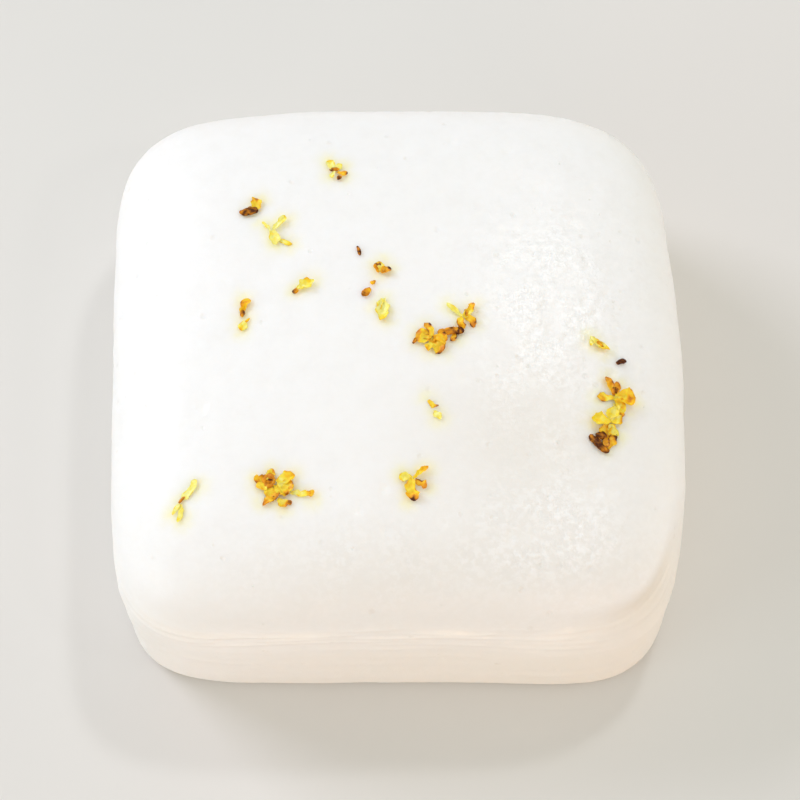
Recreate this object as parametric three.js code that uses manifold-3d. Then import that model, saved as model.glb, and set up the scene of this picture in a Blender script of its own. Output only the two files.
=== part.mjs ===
// A steamed osmanthus cake: one soft white pillow of rice cake, steamed in a rounded square tin, with
// yellow osmanthus blossoms that set into its top. It stands on its flat base.
// Millimetres, +Z up, origin in the middle of the base. -Y is the front of the cake and +X its right.
import * as THREE from "three";
import { mergeVertices } from "three/addons/utils/BufferGeometryUtils.js";
import Module from "manifold-3d";

// The cake's size, measured at its widest level.
const HALF_WIDTH = 34;
const HALF_DEPTH = 33.6;
const WALL_HEIGHT = 18.4; // the flat side wall at the corners; it's a little higher between them
const WALL_DRAFT = 0.7; // how far the wall leans in on its way down
const BASE_ROUND = 1.4; // radius of the bottom edge
const SHOULDER_HEIGHT = 8; // the rounded edge between the wall and the top
const SHOULDER_POWER = 7; // a higher power makes the shoulder tighter
const CROWN_HEIGHT = 4; // how much the top domes above the shoulder
const CROWN_REACH = 1.2; // the dome is level with the shoulder here, in half widths

// The rounded square outline is a superellipse, squarer at the front left corner than elsewhere, and
// its back right corner is drawn in a little.
const SQUARENESS = 5.5;
const SQUARENESS_SWING = 0.9;
const SQUAREST_CORNER = THREE.MathUtils.degToRad(225);
const DRAWN_IN = 0.034;
const DRAWN_IN_CORNER = THREE.MathUtils.degToRad(29);
const DRAWN_IN_FALL = 22; // a higher power keeps the drawn-in stretch shorter

// The top isn't quite even.
const SWELL_HEIGHT = 0.22;
const SWELL_LENGTH = 9; // a full wave is 2 pi times as long

// How finely the cake is faceted.
const AROUND = 108;
const BASE_STEPS = 3;
const WALL_STEPS = 3;
const SHOULDER_STEPS = 10;
const CROWN_STEPS = 4;

// A petal is a thin lens, wider at its tip, half sunk in the cake and with its tip curled up.
const PETAL_WIDTH = 0.62; // of its length
const PETAL_THICKNESS = 0.85;
const PETAL_WIDENING = 0.45; // how much wider the tip half is than the root half
const PETAL_CURL = 0.12; // how far the tip rises, of its length
const PETAL_ROOT = 0.15; // gap between the middle of the blossom and the petal's root
const PETAL_SIDES = 6;
const PETAL_STEPS = 4;
const HEART_WIDTH = 1.0; // the small browned knob in the middle of an open blossom
const HEART_THICKNESS = 1.3;
const STALK_WIDTH = 0.6;
const STALK_THICKNESS = 0.8;

// Where the blossoms lie on the top. Each petal is the way it points in degrees, and its length.
const BLOSSOMS = [
  { x: -7.0, y: 22.1, petals: [[120, 1.9], [55, 1.7], [185, 1.2], [-70, 1.6]] },
  { x: -16.9, y: 16.6, petals: [[180, 2.2], [60, 1.7]] },
  { x: -14.5, y: 13.6, petals: [[45, 2.4], [-40, 2.3], [-140, 1.2]] },
  { x: -12.2, y: 6.0, petals: [[35, 2.5]] },
  { x: -18.4, y: 3.2, petals: [[84, 2.3]] },
  { x: -17.7, y: 2.3, petals: [[-112, 2.0]] },
  { x: -2.1, y: 8.3, petals: [[170, 1.1], [10, 1.1], [-90, 1.1], [80, 1.2]] },
  { x: -1.9, y: 3.5, petals: [[-60, 2.0], [95, 1.4], [190, 1.1]] },
  { x: 4.0, y: -0.4, petals: [[165, 1.9], [205, 1.8], [108, 1.7], [68, 2.0], [-45, 2.1], [-110, 1.7]] },
  { x: 7.9, y: 2.3, petals: [[58, 2.2], [100, 1.5], [-32, 1.7], [215, 1.3], [142, 2.4]] },
  { x: 3.8, y: -9.2, petals: [[120, 1.3], [-58, 1.9]] },
  { x: 1.9, y: -18.2, petals: [[58, 2.1], [160, 1.9], [-12, 1.5], [-108, 2.4]] },
  { x: 23.6, y: -0.9, petals: [[120, 1.7], [180, 1.0], [-22, 1.3]] },
  { x: 25.3, y: -7.5, petals: [[108, 2.6], [178, 2.1], [12, 2.3], [-58, 2.5]] },
  { x: 24.6, y: -11.5, petals: [[150, 1.6], [62, 1.5], [-75, 2.0]] },
  { x: 24.3, y: -14.4, petals: [[150, 2.9]] },
  { x: -25.5, y: -19.7, petals: [[33, 2.7], [64, 2.3], [-85, 1.7], [-130, 2.0]] },
  { x: -15.1, y: -18.3, petals: [[175, 2.1], [100, 1.5], [15, 2.7]] },
  { x: -13.8, y: -19.9, petals: [[200, 2.2], [-50, 1.5]] },
  { x: -12.4, y: -19.6, petals: [[-3, 2.7]] },
];

// Loose stalks and specks: the middle of each, the way it points in degrees, and its length.
const STALKS = [
  { x: -4.7, y: 10.9, pointing: -75, length: 1.2 },
  { x: -3.8, y: 5.5, pointing: 38, length: 1.4 },
  { x: -2.8, y: 6.7, pointing: 56, length: 2.0 },
  { x: 6.1, y: 0.4, pointing: 8, length: 3.0 },
  { x: 1.6, y: -1.4, pointing: 60, length: 1.0 },
  { x: 26.2, y: -2.8, pointing: 28, length: 1.1 },
];

// Half-width of the outline at an angle, as a share of HALF_WIDTH along x and HALF_DEPTH along y.
function outline(angle) {
  const power = SQUARENESS + SQUARENESS_SWING * Math.cos(angle - SQUAREST_CORNER);
  const cos = Math.abs(Math.cos(angle)) ** power;
  const sin = Math.abs(Math.sin(angle)) ** power;
  const drawnIn = DRAWN_IN * Math.max(0, Math.cos(angle - DRAWN_IN_CORNER)) ** DRAWN_IN_FALL;
  return (cos + sin) ** (-1 / power) * (1 - drawnIn);
}

// Height of the top above the base at a place on it.
function topHeight(x, y) {
  const u = x / HALF_WIDTH;
  const v = y / HALF_DEPTH;
  const out = Math.hypot(u, v);
  const share = Math.min(1, out / outline(Math.atan2(v, u)));
  const shoulder = SHOULDER_HEIGHT * Math.sqrt(1 - share ** SHOULDER_POWER);
  const crown = CROWN_HEIGHT * (1 - (out / CROWN_REACH) ** 2);
  const swell = SWELL_HEIGHT * Math.sin(x / SWELL_LENGTH + 1) * Math.cos(y / SWELL_LENGTH);
  return WALL_HEIGHT + shoulder + crown + swell;
}

// The place on the outline at an angle, scaled by share and moved in by inset.
function outlinePoint(angle, share, inset) {
  const reach = outline(angle) * share;
  return [
    (HALF_WIDTH - inset) * reach * Math.cos(angle),
    (HALF_DEPTH - inset) * reach * Math.sin(angle),
  ];
}

// The rings of the cake's surface from the edge of its base up to the last one round its middle:
// each is a function that gives the ring's point at an angle.
function cakeRings() {
  const rings = [];
  for (let i = 0; i <= BASE_STEPS; i++) {
    const turn = (i / BASE_STEPS) * (Math.PI / 2);
    const inset = WALL_DRAFT + BASE_ROUND * (1 - Math.sin(turn));
    const z = BASE_ROUND * (1 - Math.cos(turn));
    rings.push((angle) => [...outlinePoint(angle, 1, inset), z]);
  }
  for (let i = 1; i <= WALL_STEPS; i++) {
    const up = i / WALL_STEPS;
    rings.push((angle) => {
      const rim = topHeight(...outlinePoint(angle, 1, 0));
      const z = THREE.MathUtils.lerp(BASE_ROUND, rim, up);
      return [...outlinePoint(angle, 1, WALL_DRAFT * (1 - up)), z];
    });
  }
  const shares = [];
  for (let i = 1; i <= SHOULDER_STEPS; i++) {
    const turn = (i / (SHOULDER_STEPS + 1)) * (Math.PI / 2);
    shares.push(Math.cos(turn) ** (2 / SHOULDER_POWER));
  }
  const innermost = shares.at(-1);
  for (let i = CROWN_STEPS - 1; i > 0; i--) shares.push((innermost * i) / CROWN_STEPS);
  for (const share of shares) {
    rings.push((angle) => {
      const [x, y] = outlinePoint(angle, share, 0);
      return [x, y, topHeight(x, y)];
    });
  }
  return rings;
}

// The bare cake, as one closed surface.
function cakeGeometry() {
  const points = [[0, 0, 0]];
  const rings = cakeRings();
  for (const ring of rings) {
    for (let i = 0; i < AROUND; i++) points.push(ring((i / AROUND) * 2 * Math.PI));
  }
  points.push([0, 0, topHeight(0, 0)]);
  const last = points.length - 1;
  const at = (ring, i) => 1 + ring * AROUND + (i % AROUND);
  const faces = [];
  for (let i = 0; i < AROUND; i++) {
    faces.push(0, at(0, i + 1), at(0, i));
    for (let ring = 0; ring < rings.length - 1; ring++) {
      faces.push(at(ring, i), at(ring, i + 1), at(ring + 1, i + 1));
      faces.push(at(ring, i), at(ring + 1, i + 1), at(ring + 1, i));
    }
    faces.push(at(rings.length - 1, i), at(rings.length - 1, i + 1), last);
  }
  const geometry = new THREE.BufferGeometry();
  geometry.setAttribute("position", new THREE.Float32BufferAttribute(points.flat(), 3));
  geometry.setIndex(faces);
  return geometry;
}

// A lens that lies on the cake's top. It starts at x, y and runs for length the way turn points; widening
// makes its far half wider, and curl lifts its tip.
function lensGeometry(x, y, turn, length, width, thickness, widening = 0, curl = 0) {
  const geometry = new THREE.SphereGeometry(1, PETAL_SIDES, PETAL_STEPS);
  geometry.rotateZ(-Math.PI / 2);
  const place = geometry.getAttribute("position");
  for (let i = 0; i < place.count; i++) {
    const along = (place.getX(i) + 1) / 2;
    const across = (place.getY(i) * width * (1 + widening * (along - 0.5))) / 2;
    const px = x + along * length * Math.cos(turn) - across * Math.sin(turn);
    const py = y + along * length * Math.sin(turn) + across * Math.cos(turn);
    const lift = (place.getZ(i) * thickness) / 2 + curl * length * along ** 2;
    place.setXYZ(i, px, py, topHeight(px, py) + lift);
  }
  return geometry;
}

// The petals of one blossom, and its heart where it has three or more.
function blossomGeometries({ x, y, petals }) {
  const made = petals.map(([pointing, length]) => {
    const turn = THREE.MathUtils.degToRad(pointing);
    const rootX = x + PETAL_ROOT * Math.cos(turn);
    const rootY = y + PETAL_ROOT * Math.sin(turn);
    const width = length * PETAL_WIDTH;
    return lensGeometry(rootX, rootY, turn, length, width, PETAL_THICKNESS, PETAL_WIDENING, PETAL_CURL);
  });
  if (petals.length > 2) {
    made.push(lensGeometry(x - HEART_WIDTH / 2, y, 0, HEART_WIDTH, HEART_WIDTH, HEART_THICKNESS));
  }
  return made;
}

// A stalk is a lens that is centred on its place.
function stalkGeometry({ x, y, pointing, length }) {
  const turn = THREE.MathUtils.degToRad(pointing);
  const rootX = x - (Math.cos(turn) * length) / 2;
  const rootY = y - (Math.sin(turn) * length) / 2;
  return lensGeometry(rootX, rootY, turn, length, STALK_WIDTH, STALK_THICKNESS);
}

const wasm = await Module();
wasm.setup();

// A closed geometry as a solid that can be joined to another.
function toSolid(geometry) {
  geometry.deleteAttribute("normal");
  geometry.deleteAttribute("uv");
  const merged = mergeVertices(geometry, 1e-4);
  return new wasm.Manifold(
    new wasm.Mesh({
      numProp: 3,
      vertProperties: merged.getAttribute("position").array,
      triVerts: new Uint32Array(merged.index.array),
    }),
  );
}

// The surface of a joined solid, as a geometry again.
function toGeometry(solid) {
  const { vertProperties, triVerts } = solid.getMesh();
  const geometry = new THREE.BufferGeometry();
  geometry.setAttribute("position", new THREE.BufferAttribute(vertProperties, 3));
  geometry.setIndex(new THREE.BufferAttribute(triVerts, 1));
  geometry.computeVertexNormals();
  return geometry;
}

const toppings = [...BLOSSOMS.flatMap(blossomGeometries), ...STALKS.map(stalkGeometry)];
let solid = toSolid(cakeGeometry());
for (const topping of toppings) solid = solid.add(toSolid(topping));

// Where petals cross, a tiny hollow can be shut in. Only the outer surface is kept, so it's filled.
const outer = solid.decompose().reduce((a, b) => (a.volume() > b.volume() ? a : b));

const cake = new THREE.Mesh(
  toGeometry(outer),
  new THREE.MeshStandardMaterial({ color: "#f5f1e8", roughness: 0.5, metalness: 0 }),
);
cake.name = "cake";

const osmanthusCake = new THREE.Group();
osmanthusCake.add(cake);

export default osmanthusCake;
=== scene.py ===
"""The looks of a steamed osmanthus cake: a soft white rounded square of rice cake with a fine moist crumb,
and yellow osmanthus blossoms that set into its top. Sizes are in millimetres until a mesh is made."""

import math

import bpy
import numpy as np
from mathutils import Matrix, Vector, noise


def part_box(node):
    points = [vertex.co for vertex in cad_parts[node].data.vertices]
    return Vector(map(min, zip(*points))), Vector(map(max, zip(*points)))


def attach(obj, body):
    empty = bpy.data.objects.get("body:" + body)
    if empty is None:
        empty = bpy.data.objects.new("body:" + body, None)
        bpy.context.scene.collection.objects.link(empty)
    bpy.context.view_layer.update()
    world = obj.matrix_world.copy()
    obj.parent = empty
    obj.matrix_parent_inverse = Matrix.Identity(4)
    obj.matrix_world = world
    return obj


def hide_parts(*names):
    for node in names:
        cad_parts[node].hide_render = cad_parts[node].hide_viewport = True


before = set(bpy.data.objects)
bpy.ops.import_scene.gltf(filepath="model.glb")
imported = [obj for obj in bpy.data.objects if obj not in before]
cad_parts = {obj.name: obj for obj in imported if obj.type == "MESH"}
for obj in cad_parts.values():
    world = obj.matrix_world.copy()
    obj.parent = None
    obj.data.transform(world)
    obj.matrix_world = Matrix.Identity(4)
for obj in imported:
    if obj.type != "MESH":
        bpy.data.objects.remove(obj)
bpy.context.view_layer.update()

MM = 0.001

# The cake's shape, as the solid has it.
low_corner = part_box("cake")[0]
HALF_WIDTH = -low_corner.x / MM
HALF_DEPTH = -low_corner.y / MM
WALL_HEIGHT = 18.4
WALL_DRAFT = 0.7
BASE_ROUND = 1.4
SHOULDER_HEIGHT = 8.0
SHOULDER_POWER = 7.0
CROWN_HEIGHT = 4.0
CROWN_REACH = 1.2
SQUARENESS = 5.5
SQUARENESS_SWING = 0.9
SQUAREST_CORNER = math.radians(225)
# Where the outline is drawn in: by what share, at what angle in degrees, and how fast that falls off.
DRAWN_IN = [(0.034, 29, 22), (0.022, -38, 40)]
SWELL_HEIGHT = 0.22
SWELL_LENGTH = 9.0
SWELL_SHIFT = 1.0

# The cake's mesh.
RINGS = 112  # squares of points from the middle of the top out to its rim
WALL_ROWS = 44
WALL_CROWDING = 1.3  # above 1, the rows are closer together near the wall's top
BASE_ROWS = 5
ARC_STEPS = 4000  # in which the shoulder's arc is measured

# Noise: how much weaker and how much finer each further octave is.
WEAKER = 1.0
FINER = 2.0

# Relief: each layer's height, the length of its waves, and a shift that gives it a pattern of its own.
UNEVEN = (0.16, 11.0, 3.1)
RIPPLE = (0.05, 3.2, 7.7)
CRUMB = (0.028, 1.0, 1.3)
CRUMB_ELSEWHERE = 0.6  # the crumb's share outside the coarse patches
STRIATION = (0.085, 1.5, 5.5)
STRIATION_STRETCH = 20.0  # how much longer it runs level than it is high
STRIATION_FADE = (1.0, 2.0)  # over what height it sets in, at the wall's top and above its round foot
DIMPLE = (0.08, 1.5)  # depth and reach of the hollow that each petal lies in
DIMPLE_FROM = 2.0  # how far above the wall the hollows start
GRAIN = (0.09, 1.0)  # height and spacing of rounded grains, in the coarse patches only
GRAIN_TOP = 0.5  # how far a grain's middle stands out, as a share of that height
GRAIN_FALL = 1.5  # how steeply it falls off
GRAIN_LEAST = 0.05  # weaker parts of a patch have no grains

# Patchiness: its mean, the swing about it, the most it may be, the length of its waves, and their shift.
CLUMPS = (0.8, 0.8, 1.4, 4.0, 8.8)
BROWN_SPOTS = (-0.1, 2.4, 1.0, 0.8, 2.7)

# Wrinkles that run level where the front wall meets the shoulder: how far each lies above the rim, its
# height, its half-width and the shift of its patchiness, whose other numbers are below.
WRINKLES = [
    (0.1, 0.34, 0.4, 9.9),
    (1.2, 0.14, 0.35, 10.9),
    (-1.3, 0.22, 0.4, 11.9),
    (-2.4, 0.16, 0.35, 12.9),
    (-3.7, 0.14, 0.35, 13.9),
]
WRINKLE_PATCHES = (0.7, 1.2, 1.3, 9.0)
WRINKLE_FRONT = (0.4, 0.9)  # shares of the half-depth at which they set in and are full
WRINKLE_INNER = 0.9  # nearer the middle than this share of the half-depth there are none
CREASE_SHADE_BELOW = 0.5  # how far below each wrinkle its painted crease shade lies
RIM_DRIFT = (0.5, 12.0, 2.9)  # how the level that they follow drifts, as a layer of relief

# The wall's corners swell out. The front right one is fuller, and down to the base.
CORNER_SWELL = 0.35
FULLEST_CORNER = math.radians(-50)
FULLER_BY = 1.0
FULLER_FALL = 22
FULLER_ONSET = 3.0  # how quickly it sets in below the rim

# A broad sunk fold at the front right corner: its middle, its reach, how far its upper edge lies above the
# rim, how wide that edge is, how far down it fades, and its depth.
# The fold's darker beige colour is painted shade.
FOLD_MIDDLE = (29.0, -28.5)
FOLD_REACH = (7.0, 6.5)
FOLD_TOP = 3.6
FOLD_EDGE = 1.8
FOLD_FADE = 6.5
FOLD_DEPTH = 0.5

# Patches of coarser, moister crumb on the top: x, y, radius along x, radius along y, strength.
PATCHES = [
    (18.5, 4.0, 9.0, 14.0, 1.0),
    (19.0, -24.0, 9.5, 6.5, 0.75),
    (-4.0, -27.0, 17.0, 5.0, 0.35),
]

# Patches of painted shade, a creamier tint where the top falls away towards the front and the right, in
# the same way.
FRONT_SHADE_PATCHES = [(15.0, -13.0, 12.5, 10.5, 1.45), (2.0, -29.0, 26.0, 6.0, 1.1)]

# Pits left by steam bubbles.
PITS = 260
PIT_SEED = 11
PIT_RADIUS = (0.3, 0.75)
PIT_SKEW = 3  # above 1, most pits are small
PIT_DEPTH = 0.25  # as a share of the radius
PIT_STEEPNESS = 1.6  # how fast its depth falls off
PIT_REACH = 2.5  # in radii
PIT_ELSEWHERE = 0.06  # how likely a pit is outside the coarse patches

# Where the crumb's colour changes.
TOP_FADE = 3.0  # over what height above the wall the marks of the top set in
STAIN_REACH = 1.15  # how far from a petal's middle line its yellow has soaked into the crumb
SIDE_FADE = 12.0  # over what height the side's painted warm shade sets in
SIDE_MOST = 1.3  # how much it grows in all, further down
SIDE_WARM_SHADE = (0.7, 0.3)  # how strong the side's painted warm shade is at its middle, and how much more so at its right end

# Each blossom's place and its petals: the way each points in degrees, its length and its width, and the
# tones of its middle and of its tip, from 0, lemon yellow, over 0.5, orange, to 1, dark brown.
BLOSSOMS = [
    (-7.3, 22.0, [(118, 1.6, 0.9, 0.0, 0.15), (35, 1.0, 0.8, 0.05, 0.2), (245, 1.1, 0.8, 0.05, 0.15)]),
    (-7.0, 21.9, [(-45, 1.1, 0.7, 0.4, 0.6)]),
    (-17.2, 16.8, [(58, 1.7, 1.5, 0.3, 0.25)]),
    (-15.0, 14.1, [(-72, 2.1, 1.2, 0.05, 0.1), (36, 2.3, 0.8, 0.0, 0.15)]),
    (-14.7, 13.8, [(135, 1.8, 0.4, 0.1, 0.2)]),
    (-14.2, 12.8, [(-28, 1.7, 0.6, 0.1, 0.45)]),
    (-12.1, 5.9, [(34, 2.5, 1.25, 0.15, 0.1)]),
    (-18.3, 3.1, [(90, 2.0, 1.1, 0.4, 0.35)]),
    (-18.0, 2.5, [(-108, 1.5, 0.8, 0.15, 0.3)]),
    (-2.0, 7.8, [(85, 1.5, 1.0, 0.15, 0.2), (115, 1.4, 0.9, 0.55, 0.65), (35, 1.2, 0.9, 0.6, 0.85)]),
    (-1.8, 4.5, [(-80, 2.8, 1.6, 0.0, 0.35), (-112, 1.4, 0.8, 0.1, 0.3)]),
    (4.0, -0.6, [(165, 1.9, 1.3, 0.3, 0.4), (193, 1.8, 1.2, 0.3, 0.4), (112, 1.7, 1.1, 0.35, 0.75)]),
    (4.1, -0.7, [(-52, 2.1, 1.5, 0.3, 0.4), (-108, 1.6, 1.2, 0.25, 0.3), (-8, 1.7, 1.0, 0.4, 0.55)]),
    (6.4, 0.1, [(-60, 1.1, 0.9, 0.45, 0.6)]),
    (7.7, 1.9, [(135, 2.5, 0.65, 0.1, 0.05), (55, 2.2, 1.0, 0.2, 0.7), (245, 1.6, 1.0, 0.35, 0.75)]),
    (7.8, 1.8, [(-22, 1.5, 0.9, 0.4, 0.8)]),
    (3.4, -8.3, [(-57, 1.5, 0.6, 0.35, 0.3)]),
    (4.1, -9.6, [(-62, 1.4, 0.7, 0.1, 0.1)]),
    (1.5, -18.0, [(160, 1.4, 1.0, 0.15, 0.2), (-103, 2.7, 1.35, 0.28, 0.75), (35, 2.1, 0.85, 0.3, 0.7)]),
    (1.7, -18.1, [(-30, 1.6, 0.8, 0.5, 0.7)]),
    (22.6, 0.1, [(-48, 2.7, 0.85, 0.12, 0.3), (-70, 1.1, 0.6, 0.05, 0.1)]),
    (25.3, -8.2, [(-90, 2.0, 1.6, 0.15, 0.2)]),
    (25.3, -7.4, [(185, 1.9, 1.0, 0.28, 0.45), (-55, 2.0, 1.3, 0.2, 0.35), (-5, 2.4, 1.9, 0.3, 0.5)]),
    (25.3, -7.2, [(105, 2.3, 0.85, 0.4, 0.85), (60, 1.5, 0.9, 0.5, 0.75)]),
    (24.8, -10.6, [(-80, 1.8, 1.3, 0.15, 0.2), (20, 1.4, 1.2, 0.15, 0.3), (175, 2.1, 1.6, 0.25, 0.35)]),
    (24.7, -10.8, [(-125, 1.8, 1.3, 0.4, 0.6)]),
    (24.2, -13.8, [(45, 2.0, 1.1, 0.5, 0.75)]),
    (24.1, -12.2, [(-75, 1.5, 1.0, 0.55, 0.8)]),
    (-25.5, -19.6, [(37, 2.6, 1.1, 0.02, 0.12)]),
    (-25.6, -19.9, [(-84, 2.3, 0.65, 0.12, 0.25), (-124, 1.7, 0.4, 0.1, 0.3)]),
    (-15.2, -18.1, [(170, 1.7, 1.2, 0.3, 0.45), (215, 1.5, 1.2, 0.3, 0.4), (80, 1.3, 1.2, 0.2, 0.35)]),
    (-14.4, -18.4, [(-60, 1.9, 1.4, 0.28, 0.35), (30, 2.2, 1.2, 0.2, 0.65), (-20, 2.0, 1.4, 0.25, 0.4)]),
    (-15.3, -18.5, [(-76, 1.9, 1.3, 0.3, 0.85)]),
    (-12.8, -19.3, [(-20, 2.9, 0.9, 0.1, 0.55)]),
    (-14.4, -20.1, [(-50, 1.5, 1.1, 0.2, 0.6), (190, 1.7, 0.75, 0.5, 0.8)]),
]
PETAL_SEED = 4
PETAL_ALONG = 20  # faces along a petal
PETAL_ACROSS = 14
PETAL_ROOT = 0.1  # how far from the blossom's middle a petal starts
PETAL_WIDEST = 0.62  # where along the petal it is widest
PETAL_NECK = 0.42  # its width at the root, as a share of the widest
PETAL_TIP = 0.99  # below 1, the tip keeps a little width
PETAL_WAVY = (0.45, 0.6, 0.0)  # its margins, as a layer of relief
MARGINS_APART = 2.0  # above 0, its two margins wave in ways of their own
PETAL_BENDS_AT = 0.3  # where along the petal its bow leaves its direction as it is
PETAL_THICKNESS = 0.13
PETAL_THIN_EDGE = 0.35  # its thickness at the margin, as a share of that
PETAL_EDGE_WIDTH = 1 / 3  # as a share of its half-width
PETAL_LIFT = 0.05
PETAL_LAYER = 0.1  # how much higher each further petal of a blossom lies
# What each petal draws, from the least to the most: its seed, its bow, its cup, its curl and its twist.
PETAL_LEAST = (0, -0.5, -0.2, 0.0, -0.5)
PETAL_MOST = (50, 0.5, 0.8, 0.12, 0.5)
PETAL_CRUMPLE = (0.12, 0.5, 1.9)  # fine wrinkles
PETAL_FOLD = (0.34, 1.1, 3.3)  # sharper folds
PETAL_WARP_X = (0.24, 1.0, 5.1)  # how it is pulled out of shape
PETAL_WARP_Y = (0.24, 1.0, 8.3)
PETAL_MOTTLE = (0.13, 0.5, 4.4)  # of its tone
PETAL_BROWNS_AT = 0.5  # where along and across it the browning of its tip and its margins sets in
PETAL_TIP_POWER = 1.3
PETAL_BROWNING = (0.3, 0.9)  # the margins' browning, and how much more there is on a brown petal

# Stalks, browned scraps and dark specks: the middle of each, the way it points in degrees, its length and
# width, and the tones of its start and of its end.
STALKS = [
    (-7.4, 22.1, 10, 1.2, 0.55, 0.85, 0.65),
    (-6.8, 20.9, 60, 0.7, 0.5, 0.8, 0.7),
    (-17.6, 16.6, 3, 2.3, 0.95, 0.86, 0.92),
    (-12.1, 5.8, 34, 0.8, 0.6, 0.85, 0.6),
    (-18.3, 3.2, 80, 0.9, 0.6, 0.78, 0.7),
    (-17.8, 2.3, 50, 0.9, 0.3, 0.55, 0.6),
    (-4.6, 10.8, -72, 1.3, 0.42, 0.95, 1.0),
    (-2.9, 6.6, 40, 0.7, 0.5, 0.6, 0.6),
    (-3.7, 5.3, 38, 1.4, 0.85, 0.85, 0.7),
    (1.9, -1.0, 55, 0.95, 0.42, 0.9, 0.8),
    (6.0, 0.1, 8, 2.8, 1.0, 0.68, 0.78),
    (7.25, 0.1, 20, 1.05, 0.9, 1.0, 1.05),
    (8.1, 2.5, 110, 1.0, 0.5, 0.65, 0.7),
    (23.8, -0.9, -48, 1.1, 0.5, 0.6, 0.7),
    (26.25, -2.95, 208, 1.3, 0.65, 1.1, 1.1),
    (25.4, -6.7, 70, 1.1, 0.8, 0.76, 0.8),
    (26.1, -9.6, 60, 0.8, 0.6, 0.75, 0.7),
    (23.3, -13.5, -38, 3.0, 0.95, 0.97, 1.0),
    (23.6, -12.4, 10, 1.3, 1.0, 1.0, 0.95),
    (-25.5, -19.6, 50, 1.0, 0.38, 0.72, 0.7),
    (-12.9, -20.7, 0, 0.7, 0.6, 0.75, 0.7),
    (-15.2, -18.1, 20, 0.8, 0.7, 0.8, 0.85),
]
STALK_SIDES = 12
STALK_STEPS = 16
STALK_FLATNESS = 0.45
STALK_SUNK = 0.2  # of its height
STALK_LAYERS = 2  # it lies as high as this many petals
STALK_END = 0.02  # the least of the sine that swells its middle
STALK_FULLNESS = 0.7  # below 1, it is fuller than that sine
STALK_LUMPS = (0.5, 0.7)  # as a share of its girth, and the length of their waves
STALK_BEND = (0.14, 1.5)  # as a share of its length, and the length of the bend's waves
STALK_MOTTLE = (0.3, 0.6, 6.1)
SECOND_SHIFT = 0.5  # between the two patterns of one stalk or heart

# The little cup at the middle of an open blossom: its place, its radius and its tone.
HEARTS = [(-15.2, -18.1, 0.6, 0.7), (4.0, -0.8, 0.4, 0.55)]
HEART_SIDES = 20
HEART_LAYERS = 3  # it lies as high as this many petals
HEART_LIP = 0.38  # the lip's thickness, as a share of the cup's radius
HEART_WAVES = 0.8  # the length of the waves in its lip
LIP_SWING = 0.8  # how much its thickness varies
LIP_RISE = 0.2  # how much its height varies
HEART_REACH = (0.3, 1.1)  # how much its radius varies, and over what length
HEART_MOTTLE = (0.15, 0.5, 2.2)

# Noise textures: the length of their features, their detail and their roughness.
TINT_MOTTLE = (3.0, 5.0, 0.7)
STAIN_BLOTCHES = (1.6, 2.0, 0.5)
BEADS = (0.75, 2.0, 0.6)
FINE_CRUMB = (0.4, 3.0, 0.65)
PETAL_VEINS = (0.45, 3.0, 0.6)
FLOOR_CLOUDS = (60.0, 2.0, 0.5)
NOISE_SPAN = (0.3, 0.7)  # where most of such a texture's values lie

# The crumb's colour: its tints, and the shades that are blended over them, each with its strength. Besides
# the yellow stain, they are painted shade, and painted glints on the beads' tops.
CRUMB_TINTS = [(0.3, (0.923, 0.918, 0.912)), (0.5, (0.94, 0.937, 0.933)), (0.75, (0.953, 0.952, 0.953))]
CRUMB_SHADES = {
    # painted warm shade down the wall
    "side": (0.6, (0.95, 0.87, 0.75)),
    # painted shade where the top falls away towards the front
    "painted_front_shade": (0.65, (0.85, 0.82, 0.77)),
    "stain": (1.0, (0.965, 0.92, 0.50)),
    # painted shade in the crevices between the moist beads
    "crevice_shade": (0.24, (0.83, 0.82, 0.80)),
    # a painted glint on the beads' tops
    "painted_glint": (0.8, (0.985, 0.985, 0.98)),
    # painted shade in the crease under each wrinkle
    "crease_shade": (0.4, (0.80, 0.74, 0.66)),
    # painted shade in the front right corner's fold
    "fold_shade": (0.85, (0.79, 0.72, 0.61)),
    # painted shade in the fine pores
    "pore_shade": (0.2, (0.72, 0.68, 0.62)),
}
CREVICE_SHADE_SPAN = (0.36, 0.5)  # the values of the beads' noise over which the painted shade in the crevices ends
GLINT_SPAN = (0.46, 0.62)  # and those over which the painted glint on the beads' tops starts
BLOTCHINESS = (0.25, 0.85)  # of a stain
DRY_ROUGHNESS = (0.42, 0.62)
WET_SHARE = 0.3  # the roughness of the moistest crumb, as a share of that

# Fine pores in the crumb's texture.
PORE_SPACING = 1.15
PORE_NUMBER = (0.35, 0.05)  # the share of places with a pore: how much more where moist, and elsewhere
PORE_REACH = (0.12, 0.42)  # as a share of the spacing
PORE_EDGE = 0.3  # how far out a pore is at its full depth

# Bump: how high each texture stands out.
BEAD_HEIGHT = 0.26
FINE_HEIGHT = 0.04
PORE_HEIGHT = -0.1
CRUMB_BUMP = 0.8
VEIN_HEIGHT = 0.06
PETAL_BUMP = 0.7

CRUMB_SURFACE = {
    "Subsurface Weight": 1.0,
    "Subsurface Radius": (1.0, 0.72, 0.45),
    "Subsurface Scale": 2.2 * MM,
    "Specular IOR Level": 0.5,
    "Coat Weight": 0.25,
    "Coat Roughness": 0.36,
}
PETAL_SURFACE = {"Subsurface Radius": (0.8, 0.8, 0.3), "Subsurface Scale": 0.25 * MM}

# The colour of each tone of a petal, a stalk or a heart.
TONES = [
    (0.0, (1.0, 0.97, 0.36)),
    (0.25, (1.0, 0.77, 0.05)),
    (0.5, (1.0, 0.52, 0.008)),
    (0.76, (0.68, 0.24, 0.008)),
    (1.0, (0.08, 0.017, 0.002)),
]
VEIN_TONES = (-0.08, 0.12)
PETAL_ROUGHNESS = (0.3, 0.55)

# The wide floor.
FLOOR_SIZE = 4.0  # in metres
FLOOR_TINTS = [(0.3, (0.75, 0.735, 0.71)), (0.7, (0.77, 0.755, 0.73))]
FLOOR_ROUGHNESS = 0.7

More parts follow.
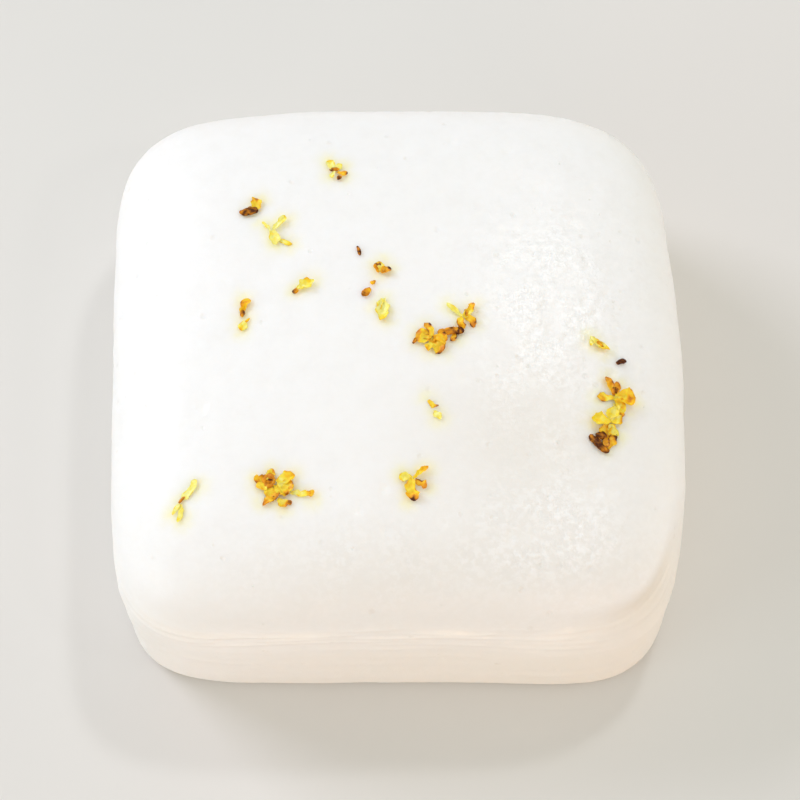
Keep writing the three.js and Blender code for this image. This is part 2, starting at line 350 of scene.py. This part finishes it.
# A key light from the back left, two high lights for the moist sheen, and fill: each light's name, its
# place and its size in metres, its power in watts and its colour.
LIGHTS = [
    ("key", (-0.80, 0.53, 0.72), 0.45, 5.3, (0.87, 0.86, 1.0)),
    ("left_fill", (-0.95, -0.50, 0.30), 0.6, 2.2, (0.84, 0.95, 1.0)),
    ("back_sheen", (0.26, 0.43, 0.97), 0.1, 1.3, (0.95, 0.97, 1.0)),
    ("right_sheen", (0.53, -0.27, 0.92), 0.1, 0.3, (1.0, 1.0, 1.0)),
    ("right_fill", (1.0, 0.10, 0.20), 0.6, 1.5, (1.0, 1.0, 1.0)),
    ("front_fill", (0.36, -0.98, 0.10), 0.7, 3.55, (1.0, 0.64, 0.52)),
]
WORLD_COLOR = (0.98, 0.985, 0.905, 1)
WORLD_STRENGTH = 0.615

# The camera, in millimetres and degrees.
CAMERA_TARGET = (0.2, -0.9, 12.6)
CAMERA_DISTANCE = 650.0
CAMERA_ELEVATION = 67.0
CAMERA_AZIMUTH = -0.6
VIEW_WIDTH = 96.4  # what the picture spans at the target
SENSOR = 36.0
NEAREST_SEEN = 10.0


def rising(value, start, full):
    """0 up to the start, then rising evenly to 1."""
    return np.clip((value - start) / (full - start), 0, 1)


def fading(distance, reach):
    """1 at no distance, and less and less beyond it."""
    return np.exp(-((distance / reach) ** 2))


def stacked(x, y, z):
    """Points from their coordinates, each of them an array or one number for all the points."""
    return np.stack(np.broadcast_arrays(x, y, z), axis=-1)


def numbered_grid(rows, columns):
    """Every pair of a row's value and a column's value, and the pairs' numbers as a grid."""
    down, across = np.meshgrid(rows, columns, indexing="ij")
    index = np.arange(down.size).reshape(down.shape)
    return down.ravel(), across.ravel(), index


def waves(points, length, shift=0.0, octaves=2):
    """Smooth noise from about -1 to 1 at each point."""
    return np.array([noise.fractal(Vector(p), WEAKER, FINER, octaves) for p in points / length + shift])


def layer(points, height, length, shift, octaves=2):
    """One layer of relief at each point."""
    return height * waves(points, length, shift, octaves)


def patchy(points, mean, swing, most, length, shift, octaves=2):
    """A strength from 0 to the most that varies from place to place."""
    return np.clip(mean + swing * waves(points, length, shift, octaves), 0, most)


def grains(points, length):
    """Rounded grains about a length apart, lowest between them."""
    nearest = np.array([noise.voronoi(Vector(p))[0][0] for p in points / length])
    return GRAIN_TOP - GRAIN_FALL * nearest**2


def outline(angle):
    """Half-width of the outline at each angle, as a share of the half-width and half-depth."""
    power = SQUARENESS + SQUARENESS_SWING * np.cos(angle - SQUAREST_CORNER)
    reach = (np.abs(np.cos(angle)) ** power + np.abs(np.sin(angle)) ** power) ** (-1 / power)
    for share, middle, fall in DRAWN_IN:
        reach = reach * (1 - share * np.maximum(0, np.cos(angle - math.radians(middle))) ** fall)
    return reach


def crown_height(x, y):
    """Height of the crowned top above the wall's top edge, without the shoulder."""
    out = np.hypot(x / HALF_WIDTH, y / HALF_DEPTH)
    return CROWN_HEIGHT * (1 - (out / CROWN_REACH) ** 2)


def top_height(x, y):
    """Height of the smooth top above the base."""
    u, v = x / HALF_WIDTH, y / HALF_DEPTH
    share = np.minimum(1, np.hypot(u, v) / outline(np.arctan2(v, u)))
    shoulder = SHOULDER_HEIGHT * np.sqrt(1 - share**SHOULDER_POWER)
    swell = SWELL_HEIGHT * np.sin(x / SWELL_LENGTH + SWELL_SHIFT) * np.cos(y / SWELL_LENGTH)
    return WALL_HEIGHT + shoulder + crown_height(x, y) + swell


def soft_patch(x, y, middle_x, middle_y, radius_x, radius_y):
    """1 in the middle of a patch, and less and less away from it."""
    return fading(x - middle_x, radius_x) * fading(y - middle_y, radius_y)


def patch_strength(x, y, patches):
    """How strong a list of patches is at each place."""
    return sum(most * soft_patch(x, y, *patch) for *patch, most in patches)


def petal_distance(x, y):
    """Distance from each place to the nearest petal's middle line."""
    nearest = np.full(np.shape(x), math.inf)
    for blossom_x, blossom_y, petals in BLOSSOMS:
        east, north = x - blossom_x, y - blossom_y
        for pointing, length, *_ in petals:
            turn = math.radians(pointing)
            along = np.clip(east * math.cos(turn) + north * math.sin(turn), 0, length)
            far = np.hypot(east - along * math.cos(turn), north - along * math.sin(turn))
            nearest = np.minimum(nearest, far)
    return nearest


def top_relief(points):
    """Relief of the cake's surface at each point, without its grains and pits."""
    x, y, z = points.T
    relief = layer(points, *UNEVEN) + layer(points, *RIPPLE)
    relief += layer(points, *CRUMB) * (CRUMB_ELSEWHERE + patch_strength(x, y, PATCHES))
    dimple = DIMPLE[0] * fading(petal_distance(x, y), DIMPLE[1])
    return relief - dimple * (z > WALL_HEIGHT + DIMPLE_FROM)


def grain_relief(points):
    """Grains in the coarse patches of the top."""
    x, y, z = points.T
    coarse = patch_strength(x, y, PATCHES) * (z > WALL_HEIGHT)
    relief = np.zeros(len(points))
    inside = coarse > GRAIN_LEAST
    relief[inside] = GRAIN[0] * coarse[inside] * grains(points[inside], GRAIN[1])
    return relief


def above_rim(points):
    """How far each point lies above the wall's gently drifting top edge."""
    x, y, z = points.T
    return z - WALL_HEIGHT - crown_height(x, y) - layer(points, *RIM_DRIFT, octaves=1)


def corner_fold(points):
    """1 in the middle of the fold at the front right corner, and less and less away from it."""
    x, y, _ = points.T
    below = FOLD_TOP - above_rim(points)
    depth = rising(below, 0, FOLD_EDGE) * fading(below, FOLD_FADE)
    return depth * soft_patch(x, y, *FOLD_MIDDLE, *FOLD_REACH)


def wrinkles(points, higher):
    """Height of the wrinkles along the front wall's top, at a distance above each point."""
    x, y, _ = points.T
    level = above_rim(points) + higher
    outer = np.hypot(x, y) > WRINKLE_INNER * HALF_DEPTH
    total = np.zeros(len(points))
    for above, height, spread, shift in WRINKLES:
        uneven = patchy(points, *WRINKLE_PATCHES, shift, octaves=1)
        total += height * fading(level - above, spread) * uneven
    return total * rising(-y / HALF_DEPTH, *WRINKLE_FRONT) * outer


def wall_relief(points):
    """Fine level striations on the side wall, the wrinkles along its top, and the fold in its corner."""
    x, y, z = points.T
    below = WALL_HEIGHT + crown_height(x, y) - z
    at_top, at_foot = STRIATION_FADE
    on_wall = rising(below, -at_top / 2, at_top / 2) * rising(z, BASE_ROUND, BASE_ROUND + at_foot)
    flat = points / np.array([STRIATION_STRETCH, STRIATION_STRETCH, 1.0])
    return layer(flat, *STRIATION) * on_wall + wrinkles(points, 0.0) - FOLD_DEPTH * corner_fold(points)


def pit_relief(points):
    """Small round pits, scattered over the top and the wall and closer together in the coarse patches."""
    random = np.random.default_rng(PIT_SEED)
    least, most = PIT_RADIUS
    depth = np.zeros(len(points))
    made = 0
    while made < PITS:
        centre = points[random.integers(len(points))]
        radius = least + (most - least) * random.random() ** PIT_SKEW
        if random.random() > PIT_ELSEWHERE + patch_strength(centre[0], centre[1], PATCHES):
            continue
        far = np.linalg.norm(points - centre, axis=1)
        near = far < PIT_REACH * radius
        depth[near] -= PIT_DEPTH * radius * np.exp(-PIT_STEEPNESS * (far[near] / radius) ** 2)
        made += 1
    return depth


def square_rings():
    """The ring and the angle of each point of a square grid, and the grid's numbering."""
    steps = np.arange(-RINGS, RINGS + 1)
    row, column, index = numbered_grid(steps, steps)
    ring = np.maximum(np.abs(column), np.abs(row))
    safe = np.maximum(ring, 1)
    # Even steps along a square's side are turned into even steps of angle.
    side_x = np.tan(column / safe * math.pi / 4)
    side_y = np.tan(row / safe * math.pi / 4)
    return ring, np.arctan2(side_y, side_x), index


def grid_faces(index):
    """The quads between a grid's numbered points."""
    quads = np.stack([index[:-1, :-1], index[:-1, 1:], index[1:, 1:], index[1:, :-1]], axis=-1)
    return quads.reshape(-1, 4)


def grid_rim(index):
    """The numbers of the points round a grid's edge."""
    return np.concatenate([index[0, :-1], index[:-1, -1], index[-1, :0:-1], index[:0:-1, 0]])


def ring_shares():
    """The share of the outline that each ring lies at, evenly spaced over the shoulder."""
    turn = np.linspace(math.pi / 2, 0, ARC_STEPS)
    share = np.cos(turn) ** (2 / SHOULDER_POWER)
    share[0] = 0
    height = SHOULDER_HEIGHT * np.sin(turn)
    steps = np.hypot(np.diff(share) * HALF_WIDTH, np.diff(height))
    gone = np.concatenate([[0], np.cumsum(steps)])
    return np.interp(np.linspace(0, gone[-1], RINGS + 1), gone, share)


def wall_rows(rim_angle, rim_height):
    """How far each row below the rim is set in, and its height: down the wall, then round its foot."""
    swell = CORNER_SWELL * np.sin(2 * rim_angle) ** 2
    fuller = FULLER_BY * np.maximum(0, np.cos(rim_angle - FULLEST_CORNER)) ** FULLER_FALL
    rows = []
    for i in range(1, WALL_ROWS + 1):
        down = (i / WALL_ROWS) ** WALL_CROWDING
        out = swell * np.sin(math.pi * math.sqrt(down)) + fuller * min(1, FULLER_ONSET * down)
        rows.append((WALL_DRAFT * down - out, rim_height + (BASE_ROUND - rim_height) * down))
    for i in range(1, BASE_ROWS + 1):
        turn = i / BASE_ROWS * math.pi / 2
        inset = WALL_DRAFT + BASE_ROUND * (1 - math.cos(turn)) - fuller
        rows.append((inset, BASE_ROUND * (1 - math.sin(turn))))
    return rows


def body_shape():
    """The smooth cake's points and faces, and the points round its flat base."""
    ring, angle, index = square_rings()
    reach = outline(angle) * ring_shares()[ring]
    x, y = HALF_WIDTH * reach * np.cos(angle), HALF_DEPTH * reach * np.sin(angle)
    points = [stacked(x, y, top_height(x, y))]
    faces = [grid_faces(index)]
    above = grid_rim(index)
    rim_angle = angle[above]
    rim_reach = outline(rim_angle)
    count = index.size
    for inset, height in wall_rows(rim_angle, points[0][above, 2]):
        x = (HALF_WIDTH - inset) * rim_reach * np.cos(rim_angle)
        y = (HALF_DEPTH - inset) * rim_reach * np.sin(rim_angle)
        points.append(stacked(x, y, height))
        below = count + np.arange(len(above))
        faces.append(np.stack([above, below, np.roll(below, -1), np.roll(above, -1)], axis=-1))
        above = below
        count += len(above)
    return np.concatenate(points), np.concatenate(faces), above[::-1]


def make_mesh(name, points, faces, material):
    """A smooth-shaded object from points in millimetres."""
    mesh = bpy.data.meshes.new(name)
    mesh.from_pydata((points * MM).tolist(), [], [list(map(int, face)) for face in faces])
    mesh.shade_smooth()
    mesh.materials.append(material)
    piece = bpy.data.objects.new(name, mesh)
    bpy.context.scene.collection.objects.link(piece)
    return piece


def set_attribute(mesh, name, values):
    """One number for each of the mesh's points, which its material reads."""
    attribute = mesh.attributes.new(name, "FLOAT", "POINT")
    attribute.data.foreach_set("value", np.asarray(values, dtype=np.float32))


def mark_body(mesh, points):
    """Marks where the crumb is stained and moist, and where painted shade lies: on the front of the top,
    in the creases, in the front right corner's fold and down the side.
    """
    x, y, z = points.T
    on_top = rising(z, WALL_HEIGHT, WALL_HEIGHT + TOP_FADE)
    down = np.clip((WALL_HEIGHT + SHOULDER_HEIGHT - z) / SIDE_FADE, 0, SIDE_MOST)
    marks = {
        "stain": fading(petal_distance(x, y), STAIN_REACH) * on_top,
        "moist": patch_strength(x, y, PATCHES) * on_top * patchy(points, *CLUMPS),
        # painted shade where the top falls away towards the front and the right
        "painted_front_shade": patch_strength(x, y, FRONT_SHADE_PATCHES) * on_top,
        # painted shade in the crease under each wrinkle
        "crease_shade": wrinkles(points, CREASE_SHADE_BELOW) / WRINKLES[0][1],
        # painted shade in the front right corner's fold
        "fold_shade": corner_fold(points),
        # painted warm shade down the side, stronger towards its right end
        "side": down * (SIDE_WARM_SHADE[0] + SIDE_WARM_SHADE[1] * x / HALF_WIDTH),
    }
    for name, values in marks.items():
        set_attribute(mesh, name, values)


def make_body(material):
    """The cake itself, with its relief."""
    points, faces, base = body_shape()
    piece = make_mesh("steamed_cake", points, list(faces) + [base], material)
    mesh = piece.data
    normals = np.zeros(points.size)
    mesh.vertex_normals.foreach_get("vector", normals)
    relief = top_relief(points) + grain_relief(points) + wall_relief(points) + pit_relief(points)
    relief *= rising(points[:, 2], 0, BASE_ROUND)
    moved = points + normals.reshape(-1, 3) * relief[:, None]
    mesh.vertices.foreach_set("co", (moved * MM).ravel())
    mark_body(mesh, points)
    mesh.update()
    return piece


def surface_height(x, y):
    """Height of the cake's finished surface, without its grains and pits."""
    smooth = top_height(x, y)
    return smooth + top_relief(stacked(x, y, smooth))


def turned(x, y, forward, sideways, turn):
    """The places forward and sideways of a middle, along a direction."""
    east = forward * np.cos(turn) - sideways * np.sin(turn)
    north = forward * np.sin(turn) + sideways * np.cos(turn)
    return x + east, y + north


def sheet_faces(index):
    """The faces of a thin closed sheet over a grid: its upper side, its lower side and its edge."""
    quads, rim = grid_faces(index), grid_rim(index)
    after = np.roll(rim, -1)
    sides = np.stack([after, rim, rim + index.size, after + index.size], axis=-1)
    return np.concatenate([quads[:, ::-1], quads + index.size, sides])


def petal_width(along, side, length, width, seed):
    """Half-width along a petal: narrow at the root, round at the tip, with a wavy margin on each side."""
    swelling = np.sin(rising(along, 0, PETAL_WIDEST) * math.pi / 2)
    rounding = np.sqrt(1 - np.minimum(rising(along, PETAL_WIDEST, 1), PETAL_TIP) ** 2)
    wavy = 1 + layer(stacked(along * length, side * MARGINS_APART, seed), *PETAL_WAVY)
    return width / 2 * (PETAL_NECK + (1 - PETAL_NECK) * swelling) * rounding * wavy


def petal_thickness(along, across):
    """Thickness at each place of a petal, least at its margins."""
    edge = np.minimum(1 - np.abs(across), np.minimum(along, 1 - along) * 2)
    share = PETAL_THIN_EDGE + (1 - PETAL_THIN_EDGE) * rising(edge, 0, PETAL_EDGE_WIDTH)
    return PETAL_THICKNESS * share


def petal_tones(along, across, tone, tip_tone, places):
    """A petal's tone at each point: browner towards its tip and in spots along its margins."""
    to_tip = rising(along, PETAL_BROWNS_AT, 1) ** PETAL_TIP_POWER
    to_margin = rising(np.maximum(np.abs(across), along), PETAL_BROWNS_AT, 1)
    browning = (PETAL_BROWNING[0] + PETAL_BROWNING[1] * tone) * to_margin * patchy(places, *BROWN_SPOTS)
    tones = tone + (tip_tone - tone) * to_tip + browning + layer(places, *PETAL_MOTTLE)
    return np.clip(tones, 0, 1)


def petal_shape(x, y, petal, height, random):
    """A thin crumpled petal at a height above the cake: its points, its faces and each point's tone."""
    pointing, length, width, tone, tip_tone = petal
    seed, bow, cup, curl, twist = random.uniform(PETAL_LEAST, PETAL_MOST)
    steps_along = np.linspace(0, 1, PETAL_ALONG + 1)
    steps_across = np.linspace(-1, 1, PETAL_ACROSS + 1)
    along, across, index = numbered_grid(steps_along, steps_across)
    half = petal_width(along, np.sign(across), length, width, seed)
    turn = math.radians(pointing) + bow * (along - PETAL_BENDS_AT)
    px, py = turned(x, y, PETAL_ROOT + along * length, across * half, turn)
    places = stacked(px, py, seed)
    px = px + layer(places, *PETAL_WARP_X)
    py = py + layer(places, *PETAL_WARP_Y)
    lift = layer(places, *PETAL_CRUMPLE) + np.abs(layer(places, *PETAL_FOLD, octaves=1))
    lift += cup * half * across**2 + curl * length * along**3 + twist * half * across * along
    middle = surface_height(px, py) + PETAL_LIFT + height + np.maximum(lift, -PETAL_LIFT)
    half_thick = petal_thickness(along, across) / 2
    points = np.concatenate([stacked(px, py, middle + half_thick), stacked(px, py, middle - half_thick)])
    tones = petal_tones(along, across, tone, tip_tone, places)
    return points, sheet_faces(index), np.tile(tones, 2)


def ring_angles(sides):
    """Even steps once round a ring."""
    return np.arange(sides) / sides * 2 * math.pi


def stalk_shape(x, y, pointing, length, width, tone, end_tone, seed):
    """A knobbly spindle that lies partly sunk on the cake: its points, its faces and their tones."""
    steps = np.linspace(0, math.pi, STALK_STEPS + 1)
    bow, around, index = numbered_grid(steps, ring_angles(STALK_SIDES))
    along = -np.cos(bow)
    places = stacked(along * length / 2, np.cos(around) * width, np.sin(around) * width)
    lumps = layer(places, *STALK_LUMPS, seed)
    girth = np.maximum(np.sin(bow), STALK_END) ** STALK_FULLNESS * (1 + lumps)
    spine = places * np.array([1.0, 0.0, 0.0])
    bend = length * layer(spine, *STALK_BEND, seed + SECOND_SHIFT, octaves=1)
    sideways = girth * np.cos(around) * width / 2 + bend
    px, py = turned(x, y, along * length / 2, sideways, math.radians(pointing))
    height = width * STALK_FLATNESS
    middle = PETAL_LAYER * STALK_LAYERS + (0.5 - STALK_SUNK) * height
    up = middle + girth * np.sin(around) * height / 2
    points = stacked(px, py, surface_height(px, py) + up)
    ends = [index[0], index[-1, ::-1]]
    closed = np.pad(index, ((0, 0), (0, 1)), mode="wrap")
    tones = tone + (end_tone - tone) * (along + 1) / 2 + layer(points, *STALK_MOTTLE)
    return points, list(grid_faces(closed)) + ends, np.clip(tones, 0, 1)


def heart_shape(x, y, radius, tone, seed):
    """The lip of a blossom's cup: an uneven ring. Gives its points, its faces and their tones."""
    steps = ring_angles(HEART_SIDES)
    around, section, index = numbered_grid(steps, steps)
    places = stacked(np.cos(around), np.sin(around), 0.0)
    uneven = waves(places, HEART_WAVES, seed)
    lip = radius * HEART_LIP * (1 + LIP_SWING * uneven)
    reach = radius * (1 + layer(places, *HEART_REACH, seed + SECOND_SHIFT)) + lip * np.cos(section)
    px, py = x + reach * np.cos(around), y + reach * np.sin(around)
    up = PETAL_LAYER * HEART_LAYERS + LIP_RISE * uneven + lip * np.sin(section)
    points = stacked(px, py, surface_height(px, py) + up)
    closed = np.pad(index, (0, 1), mode="wrap")
    tones = tone + layer(points, *HEART_MOTTLE)
    return points, grid_faces(closed)[:, ::-1], np.clip(tones, 0, 1)


def join_shapes(name, shapes, material):
    """One piece from several shapes, with a tone for each point."""
    points, faces, tones, count = [], [], [], 0
    for shape_points, shape_faces, shape_tones in shapes:
        points.append(shape_points)
        faces += [face + count for face in shape_faces]
        tones.append(shape_tones)
        count += len(shape_points)
    piece = make_mesh(name, np.concatenate(points), faces, material)
    set_attribute(piece.data, "tone", np.concatenate(tones))
    return piece


def make_petals(material):
    """Every petal, in one mesh."""
    random = np.random.default_rng(PETAL_SEED)
    shapes = []
    for x, y, petals in BLOSSOMS:
        for place, petal in enumerate(petals):
            shapes.append(petal_shape(x, y, petal, PETAL_LAYER * place, random))
    return join_shapes("osmanthus_petals", shapes, material)


def make_stalks(material):
    """Stalks, browned scraps and specks."""
    shapes = [stalk_shape(*stalk, seed) for seed, stalk in enumerate(STALKS)]
    return join_shapes("osmanthus_stalks", shapes, material)


def make_hearts(material):
    """The little cups at the middles of the open blossoms."""
    shapes = [heart_shape(*heart, seed) for seed, heart in enumerate(HEARTS)]
    return join_shapes("osmanthus_hearts", shapes, material)


class NodeMaterial:
    """A material and its nodes. Each input may be a number, a colour or another node's output socket."""

    # The numbers of a colour mix node's sockets.
    MIX_SHARE, MIX_FIRST, MIX_SECOND, MIX_RESULT = 0, 6, 7, 2

    def __init__(self, name):
        self.material = bpy.data.materials.new(name)
        self.material.use_nodes = True
        self.tree = self.material.node_tree
        self.shader = self.tree.nodes["Principled BSDF"]
        self.place = self.tree.nodes.new("ShaderNodeTexCoord").outputs["Object"]

    def feed(self, node, values):
        """Sets a node's inputs, by their names or numbers."""
        for name, value in values.items():
            if isinstance(value, bpy.types.NodeSocket):
                self.tree.links.new(value, node.inputs[name])
            else:
                node.inputs[name].default_value = value

    def add(self, kind, values):
        """A new node of a kind, with its inputs set."""
        node = self.tree.nodes.new(kind)
        self.feed(node, values)
        return node

    def attribute(self, name):
        """One of the mesh's attributes."""
        node = self.tree.nodes.new("ShaderNodeAttribute")
        node.attribute_name = name
        return node.outputs["Fac"]

    def texture(self, length, detail, roughness):
        """Noise whose features are about a length across."""
        values = {"Scale": 1 / (length * MM), "Detail": detail, "Roughness": roughness}
        return self.add("ShaderNodeTexNoise", {"Vector": self.place, **values}).outputs["Fac"]

    def ramp(self, source, stops):
        """A colour for each value of a source, from a list of places and colours."""
        node = self.add("ShaderNodeValToRGB", {"Fac": source})
        elements = node.color_ramp.elements
        while len(elements) < len(stops):
            elements.new(0.5)
        for element, (place, color) in zip(elements, stops):
            element.position = place
            element.color = (*color, 1)
        return node.outputs["Color"]

    def blend(self, share, first, color):
        """A share of a plain colour blended into a colour socket."""
        node = self.tree.nodes.new("ShaderNodeMix")
        node.data_type = "RGBA"
        self.feed(node, {self.MIX_SHARE: share, self.MIX_FIRST: first, self.MIX_SECOND: (*color, 1)})
        return node.outputs[self.MIX_RESULT]

    def remap(self, source, old, new):
        """A source's old range, as a pair, turned into a new one and kept inside it."""
        names = ("From Min", "From Max", "To Min", "To Max")
        values = dict(zip(names, (*old, *new)))
        return self.add("ShaderNodeMapRange", {"Value": source, **values}).outputs["Result"]

    def calculate(self, operation, *values):
        """A sum, a product or the like."""
        node = self.tree.nodes.new("ShaderNodeMath")
        node.operation = operation
        self.feed(node, dict(enumerate(values)))
        return node.outputs[0]

    def product(self, first, second):
        """Two values multiplied."""
        return self.calculate("MULTIPLY", first, second)

    def bump(self, height, strength):
        """Fine relief on the shader, from its height in millimetres."""
        node = self.add("ShaderNodeBump", {"Strength": strength, "Distance": MM, "Height": height})
        self.feed(self.shader, {"Normal": node.outputs["Normal"]})


def fine_pores(look, moist):
    """A mask of fine pores, from 0 to 1, closest together where the crumb is moist."""
    values = {"Vector": look.place, "Scale": 1 / (PORE_SPACING * MM)}
    cells = look.add("ShaderNodeTexVoronoi", values).outputs
    draws = look.add("ShaderNodeSeparateColor", {"Color": cells["Color"]}).outputs
    wanted = look.calculate("MULTIPLY_ADD", moist, *PORE_NUMBER)
    picked = look.calculate("LESS_THAN", draws["Red"], wanted)
    reach = look.remap(draws["Green"], (0.0, 1.0), PORE_REACH)
    out = look.calculate("DIVIDE", cells["Distance"], reach)
    return look.product(look.remap(out, (PORE_EDGE, 1.0), (1.0, 0.0)), picked)


def crumb_color(look, moist, beads, pores):
    """The crumb's colour: pale tints, with the yellow stain, the painted shade and the painted glints
    blended in where each one's mask says.
    """
    blotches = look.remap(look.texture(*STAIN_BLOTCHES), NOISE_SPAN, BLOTCHINESS)
    masks = {
        # painted warm shade down the side
        "side": look.attribute("side"),
        # painted shade on the front of the top
        "painted_front_shade": look.attribute("painted_front_shade"),
        "stain": look.product(look.attribute("stain"), blotches),
        # painted shade in the crevices between the beads
        "crevice_shade": look.product(look.remap(beads, CREVICE_SHADE_SPAN, (1.0, 0.0)), moist),
        # a painted glint on the moist beads' tops
        "painted_glint": look.product(look.remap(beads, GLINT_SPAN, (0.0, 1.0)), moist),
        # painted shade in the creases
        "crease_shade": look.attribute("crease_shade"),
        # painted shade in the corner's fold
        "fold_shade": look.attribute("fold_shade"),
        # painted shade in the fine pores, which are also sunk by the bump
        "pore_shade": pores,
    }
    color = look.ramp(look.texture(*TINT_MOTTLE), CRUMB_TINTS)
    for name, (strength, shade) in CRUMB_SHADES.items():
        color = look.blend(look.product(masks[name], strength), color, shade)
    return color


def crumb_material():
    """Moist steamed rice crumb: white, a little see-through, creamier down its side as painted warm shade,
    with fine pores, with pale yellow stains round the petals, and with painted shade and painted glints on
    its top."""
    look = NodeMaterial("steamed_rice_crumb")
    moist = look.attribute("moist")
    beads = look.texture(*BEADS)
    fine = look.texture(*FINE_CRUMB)
    pores = fine_pores(look, moist)
    dry = look.remap(fine, NOISE_SPAN, DRY_ROUGHNESS)
    wet = look.remap(moist, (0.0, 1.0), (1.0, WET_SHARE))
    color = crumb_color(look, moist, beads, pores)
    look.feed(look.shader, {"Base Color": color, "Roughness": look.product(dry, wet), **CRUMB_SURFACE})
    height = look.product(fine, FINE_HEIGHT)
    height = look.calculate("MULTIPLY_ADD", look.product(beads, moist), BEAD_HEIGHT, height)
    height = look.calculate("MULTIPLY_ADD", pores, PORE_HEIGHT, height)
    look.bump(height, CRUMB_BUMP)
    look.shader.subsurface_method = "BURLEY"  # far quicker than a random walk, and with less speckle
    return look.material


def petal_material(name, see_through, gloss):
    """Steamed blossom: yellow to brown by its tone, thin, moist and a little see-through."""
    look = NodeMaterial(name)
    veins = look.texture(*PETAL_VEINS)
    tone = look.calculate("ADD", look.attribute("tone"), look.remap(veins, NOISE_SPAN, VEIN_TONES))
    look.feed(look.shader, PETAL_SURFACE)
    look.feed(look.shader, {
        "Base Color": look.ramp(tone, TONES),
        "Roughness": look.remap(veins, NOISE_SPAN, PETAL_ROUGHNESS),
        "Subsurface Weight": see_through,
        "Specular IOR Level": gloss,
    })
    look.bump(look.product(veins, VEIN_HEIGHT), PETAL_BUMP)
    return look.material


def make_floor():
    """A wide pale floor."""
    look = NodeMaterial("pale_floor")
    color = look.ramp(look.texture(*FLOOR_CLOUDS), FLOOR_TINTS)
    look.feed(look.shader, {"Base Color": color, "Roughness": FLOOR_ROUGHNESS})
    bpy.ops.mesh.primitive_plane_add(size=FLOOR_SIZE)
    floor = bpy.context.object
    floor.name = "floor"
    floor.data.materials.append(look.material)


def add_softbox(name, place, size, watts, color):
    """A square area light that faces the cake."""
    light = bpy.data.lights.new(name, "AREA")
    light.size = size
    light.energy = watts
    light.color = color
    box = bpy.data.objects.new(name, light)
    box.location = place
    box.rotation_euler = (-Vector(place)).to_track_quat("-Z", "Y").to_euler()
    bpy.context.scene.collection.objects.link(box)


def light_scene():
    """Every light, and soft light from all round."""
    for light in LIGHTS:
        add_softbox(*light)
    world = bpy.data.worlds.new("soft_fill")
    world.use_nodes = True
    background = world.node_tree.nodes["Background"]
    background.inputs["Color"].default_value = WORLD_COLOR
    background.inputs["Strength"].default_value = WORLD_STRENGTH
    bpy.context.scene.world = world
    bpy.context.scene.view_settings.view_transform = "Standard"


def add_camera():
    """The camera, at the photograph's angle."""
    camera = bpy.data.cameras.new("camera")
    camera.sensor_width = SENSOR
    camera.lens = SENSOR * CAMERA_DISTANCE / VIEW_WIDTH
    camera.clip_start = NEAREST_SEEN * MM
    holder = bpy.data.objects.new("camera", camera)
    up, side = math.radians(CAMERA_ELEVATION), math.radians(CAMERA_AZIMUTH)
    back = Vector((math.cos(up) * math.sin(side), -math.cos(up) * math.cos(side), math.sin(up)))
    holder.location = (Vector(CAMERA_TARGET) + back * CAMERA_DISTANCE) * MM
    holder.rotation_euler = (-back).to_track_quat("-Z", "Y").to_euler()
    bpy.context.scene.collection.objects.link(holder)
    bpy.context.scene.camera = holder


add_camera()
light_scene()
make_floor()

pieces = [
    make_body(crumb_material()),
    make_petals(petal_material("osmanthus_petal", see_through=0.4, gloss=0.35)),
    make_stalks(petal_material("osmanthus_stalk", see_through=0.1, gloss=0.2)),
    make_hearts(petal_material("osmanthus_heart", see_through=0.3, gloss=0.3)),
]
for piece in pieces:
    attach(piece, "root")
    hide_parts("cake")
